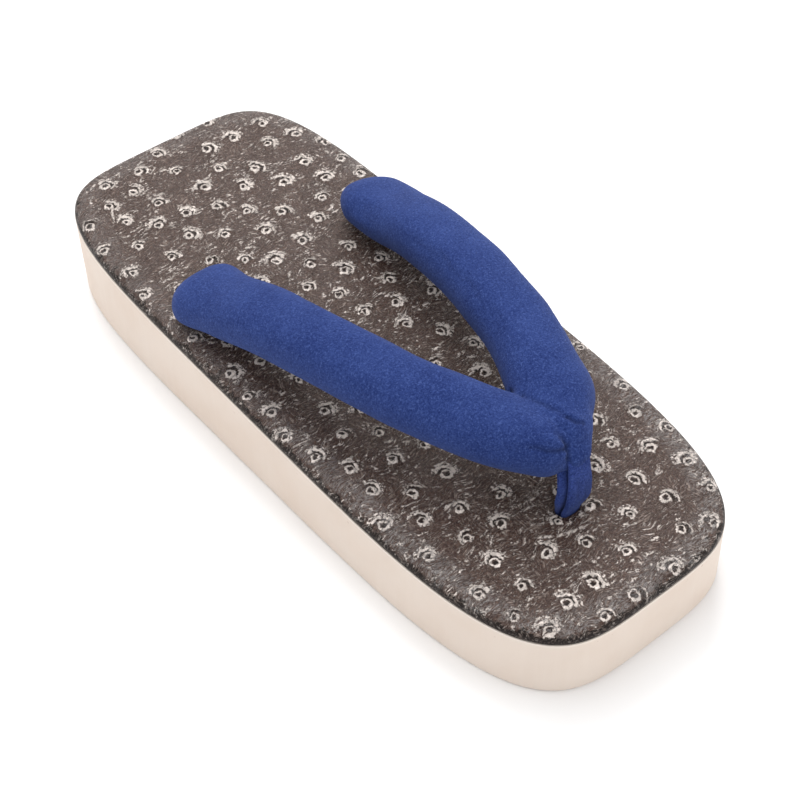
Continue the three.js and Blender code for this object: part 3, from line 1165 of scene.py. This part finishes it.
def pullSoftly(points, pulls):
    for pull in pulls:
        away = np.linalg.norm(points - onFootbed(pull["x"], pull["y"], pull["rise"]), axis=1)
        share = np.clip(1 - away / (pull["reach"] * millimetre), 0, 1)
        share = share * share * (3 - 2 * share)
        points = points + share[:, None] * np.array(pull["move"]) * millimetre
    return points


# Presses the creases into the cloth and returns how deep each point lies in one, from 0 to 1: the painted
# shade that darkens the cloth in its creases.
def pressCreases(points, normals, creases):
    shade = np.zeros(len(points))
    for crease in creases:
        route = np.array([onFootbed(*place) for place in crease["route"]])
        away, place = nearRoute(points, route)
        strength = crease["start"] + (crease["end"] - crease["start"]) * place
        profile = np.exp(-(away / (crease["width"] * millimetre)) ** 2) * strength
        points = points - normals * (profile * crease["depth"] * millimetre)[:, None]
        if crease["depth"] > 0:
            shade = np.maximum(shade, np.exp(-(away / (crease["shade"] * millimetre)) ** 2) * strength)
    return points, shade


def creaseCloth(piece, creases):
    points, shade = pressCreases(readPoints(piece), readNormals(piece), creases)
    writePoints(piece, points)
    storeValues(piece, "crease", shade)


# The line under each strap where its cloth is sewn shut.
def seamRoute(side):
    rows = strapRows[1:-1]
    inward = strapMake["seamInward"]
    return [(side * row["x"] * inward, row["y"], row["rise"] - row["halfThickness"]) for row in rows]


def makeStraps(make):
    tubes = [sweepStrap(strapRows, side, make) for side in (1, -1)]
    tubes.append(sweepStrap(noseRows, 1, make, levelBand=True))
    straps = mergePieces("padded_straps", tubes)
    addModifier(straps, "REMESH", mode="VOXEL", voxel_size=make["voxel"])
    addModifier(straps, "SMOOTH", factor=0.5, iterations=make["evenOut"])
    applyModifiers(straps)
    padOut(straps, make)
    addModifier(straps, "SUBSURF", levels=1, render_levels=1)
    applyModifiers(straps)
    points = pullSoftly(readPoints(straps), strapPulls)
    writePoints(straps, points)
    normals = readNormals(straps)
    lumps = [noise.noise(Vector(p) / make["lumpLength"]) * make["lumps"] for p in points]
    writePoints(straps, points + normals * np.array(lumps)[:, None])
    depth, width = make["seamDepth"] / millimetre, make["seamWidth"] / millimetre
    seams = namedRows("depth width shade start end route", [
        (depth, width, make["seamShade"], 1.0, 1.0, seamRoute(side)) for side in (1, -1)
    ])
    creaseCloth(straps, strapCreases + seams)
    dress(straps, strapCloth)
    return straps


straps = makeStraps(strapMake)
print("straps made", len(straps.data.polygons))


# Toe post

postRows = namedRows("y x rise halfWidth", [
    (-91.7, 0.0, -20, 3.6),
    (-91.7, 0.0, -10, 3.6),
    (-91.7, 0.0, -1, 3.7),
    (-92.8, 1.4, 4, 5.0),
    (-93.0, 1.5, 10.5, 4.8),
    (-92.3, 1.5, 16, 4.4),
    (-90.6, 1.8, 21, 4.2),
    (-87.0, 2.2, 23.0, 4.0),
    (-85.0, 1.4, 21, 4.0),
    (-89.0, -0.1, 16.5, 4.4),
    (-90.6, -0.8, 11, 4.6),
    (-90.6, -1.2, 5.5, 4.7),
    (-89.2, -0.1, -1, 3.7),
    (-89.1, 0.0, -10, 3.6),
    (-89.1, 0.0, -20, 3.6),
])

# shade is the width, in millimetres, of the painted shade along each crease.
postCreases = namedRows("depth width shade start end route", [
    (0.3, 0.7, 0.6, 0.7, 0.2, [(-0.5, -94, 17), (0.2, -94.4, 12), (-0.4, -94.3, 6)]),
    (0.3, 0.8, 0.6, 0.2, 0.6, [(3.2, -93.6, 13), (3.6, -93.9, 8), (2.6, -94, 3)]),
])

postMake = {
    "rings": 180,
    "sides": 36,
    "fullness": 3.2,
    "thickness": 1.15,
    "cap": 0.5 * millimetre,
    "channelGap": 0.25,
    "channelSharp": math.radians(50),
}


def sweepPost(name, rows, thickness, make):
    settings = {"Level Band": True, "Start Cap": make["cap"], "End Cap": make["cap"], "Material": postClothLightened}
    return sweepRows(name, rows, make, settings, 1, thickness)


def makeToePost(make):
    post = sweepPost("toe_post_band", postRows, make["thickness"], make)
    creaseCloth(post, postCreases)
    smoothShade(post)
    return post


# The toe post's loop runs through the nose of the straps, with a little room round it.
def openLoopChannel(piece, make):
    gap = make["channelGap"]
    rows = [{**row, "halfWidth": row["halfWidth"] + gap} for row in postRows[3:-3]]
    cutWith(piece, [sweepPost("loop_channel", rows, make["thickness"] + gap, make)])
    smoothShade(piece, make["channelSharp"])


toePost = makeToePost(postMake)
openLoopChannel(straps, postMake)
print("toe post made", len(toePost.data.polygons))


# Geometry Nodes set a stitch at each step along a line.

stitchTree, feed = startTree("stitches", {
    "Pitch": 0.0032,
    "Stitch Length": 0.0021,
    "Thread Radius": 0.0003,
    "Sides": 8,
})


def buildStitchTree(feed):
    feeds = {"Curve": smoothCurve(feed), "Length": feed["Pitch"]}
    steps = addNode("GeometryNodeCurveToPoints", feeds, mode="LENGTH").outputs
    feeds = {"Segments": feed["Sides"], "Rings": 6, "Radius": feed["Thread Radius"]}
    ball = outputOf("GeometryNodeMeshUVSphere", feeds)
    longer = over(product(feed["Stitch Length"], 0.5), feed["Thread Radius"])
    placed = outputOf("GeometryNodeInstanceOnPoints", {
        "Points": steps["Points"],
        "Instance": ball,
        "Rotation": outputOf("FunctionNodeAlignRotationToVector", {"Vector": steps["Tangent"]}, axis="Z"),
        "Scale": joinVector(1.0, 1.0, longer),
    })
    endTree(placed, feed["Material"])


buildStitchTree(feed)

seamStitches = {
    "Pitch": 3.2 * millimetre,
    "Stitch Length": 2.3 * millimetre,
    "Thread Radius": 0.28 * millimetre,
}

stitchPlaces = {
    "finer": 8,
    "rise": 0.4,
}


# The line follows the cloth closely, with the thread a little sunk into it.
def makeStitches(settings, places):
    rows = []
    for side in (1, -1):
        route = [onFootbed(*place) for place in seamRoute(side)]
        fine = []
        for start, end in zip(route, route[1:]):
            fine += [start + (end - start) * step / places["finer"] for step in range(places["finer"])]
        points = []
        for place in fine + [route[-1]]:
            point, normal = straps.closest_point_on_mesh(Vector(place))[1:3]
            points.append(point + normal * settings["Thread Radius"] * places["rise"])
        line = addLine("seam_line", points)
        rows.append(runTree(line, stitchTree, {**settings, "Material": thread}))
    stitches = mergePieces("seam_stitches", rows)
    dress(stitches, thread)
    return stitches


stitches = makeStitches(seamStitches, stitchPlaces)
print("stitches sewn", len(stitches.data.polygons))


# Each strap end and the toe post are tied off in a pocket of the sole, in a half knot with a short end.

knotShape = {
    "cord": 2.0 * millimetre,
    "size": 1.75 * millimetre,
    "lift": 1.7 * millimetre,
    "middle": 5.6 * millimetre,
    "straight": 6 * millimetre,
    "steps": 60,
    "openTurn": 0.16,
}


def makeKnot(name, x, y, top, shape):
    route = [(x, y, top), (x, y, shape["middle"] + shape["straight"])]
    first = math.pi * shape["openTurn"]
    for i in range(shape["steps"] + 1):
        t = math.pi / 3 + first + (2 * math.pi - 2 * first) * i / shape["steps"]
        route.append((
            x + shape["size"] * (math.sin(t) + 2 * math.sin(2 * t)),
            y + shape["size"] * (math.cos(t) - 2 * math.cos(2 * t)),
            shape["middle"] - shape["lift"] * math.sin(3 * t),
        ))
    data = bpy.data.curves.new(name, "CURVE")
    data.dimensions = "3D"
    data.bevel_depth = shape["cord"]
    data.bevel_resolution = 5
    data.use_fill_caps = True
    data.resolution_u = 3
    spline = data.splines.new("NURBS")
    spline.points.add(len(route) - 1)
    for point, place in zip(spline.points, route):
        point.co = (*place, 1)
    spline.use_endpoint_u = True
    spline.order_u = 4
    curve = addObject(name + "_line", data)
    graph = bpy.context.evaluated_depsgraph_get()
    mesh = bpy.data.meshes.new_from_object(curve.evaluated_get(graph))
    bpy.data.objects.remove(curve)
    knot = addObject(name, mesh)
    turnOutwards(knot)
    dress(knot, strapCloth)
    return knot


def makeRearKnots(shape):
    knots = []
    for key in ("left", "right"):
        x, y, radius = holes[key]
        knots.append(makeKnot("knot_" + key, x, y, topHeight(y) + 3 * millimetre, shape))
    knots = mergePieces("rear_knots", knots)
    dress(knots, strapCloth)
    return knots


rearKnots = makeRearKnots(knotShape)
frontKnot = makeKnot("front_knot", holes["front"][0], holes["front"][1], 13 * millimetre, knotShape)
print("knots tied")


# Floor and light

studio = {
    "floorReach": 3.0,
    "floorColour": (0.93, 0.93, 0.935, 1),
    "skyColour": (1.0, 1.0, 1.0, 1),
    "skyStrength": 0.875,
    "lamps": namedRows("name place size energy", [
        ("key", (-0.05, 0.50, 1.50), 1.3, 8.5),
        ("sheen", (0.85, 0.80, 0.95), 0.5, 6.0),
        ("edge", (0.26, 0.80, 1.36), 0.42, 5.0),
        ("front", (0.9, -1.1, 0.5), 0.8, 2.2),
    ]),
}


def makeStudio(setup):
    corners = ((-1, -1, 0), (1, -1, 0), (1, 1, 0), (-1, 1, 0))
    floor = addPiece("floor", setup["floorReach"] * np.array(corners), [(0, 1, 2, 3)])
    material, shader = startMaterial("pale floor")
    feedNode(shader, {"Base Color": setup["floorColour"], "Roughness": 0.9, "Specular IOR Level": 0.1})
    floor.data.materials.append(material)
    world = bpy.data.worlds.new("studio")
    world.use_nodes = True
    sky = world.node_tree.nodes["Background"]
    sky.inputs["Color"].default_value = setup["skyColour"]
    sky.inputs["Strength"].default_value = setup["skyStrength"]
    scene.world = world
    for lamp in setup["lamps"]:
        light = bpy.data.lights.new(lamp["name"], "AREA")
        light.shape = "DISK"
        light.size = lamp["size"]
        light.energy = lamp["energy"]
        placeFacing(addObject(lamp["name"], light), lamp["place"], (0.0, 0.0, 0.0))
    scene.view_settings.view_transform = "Standard"


makeStudio(studio)
print("studio lit")


def settle(piece, slotName, *nodes):
    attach(piece, "root")
    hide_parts(*nodes)


settle(sole, "foam", "sole")
settle(footbed, "embossed_cover", "footbed")
settle(straps, "strap_cloth", "straps")
settle(stitches, "strap_cloth", "straps")
settle(rearKnots, "strap_cloth", "straps")
settle(toePost, "post_cloth", "toe_post")
settle(frontKnot, "post_cloth", "toe_post")
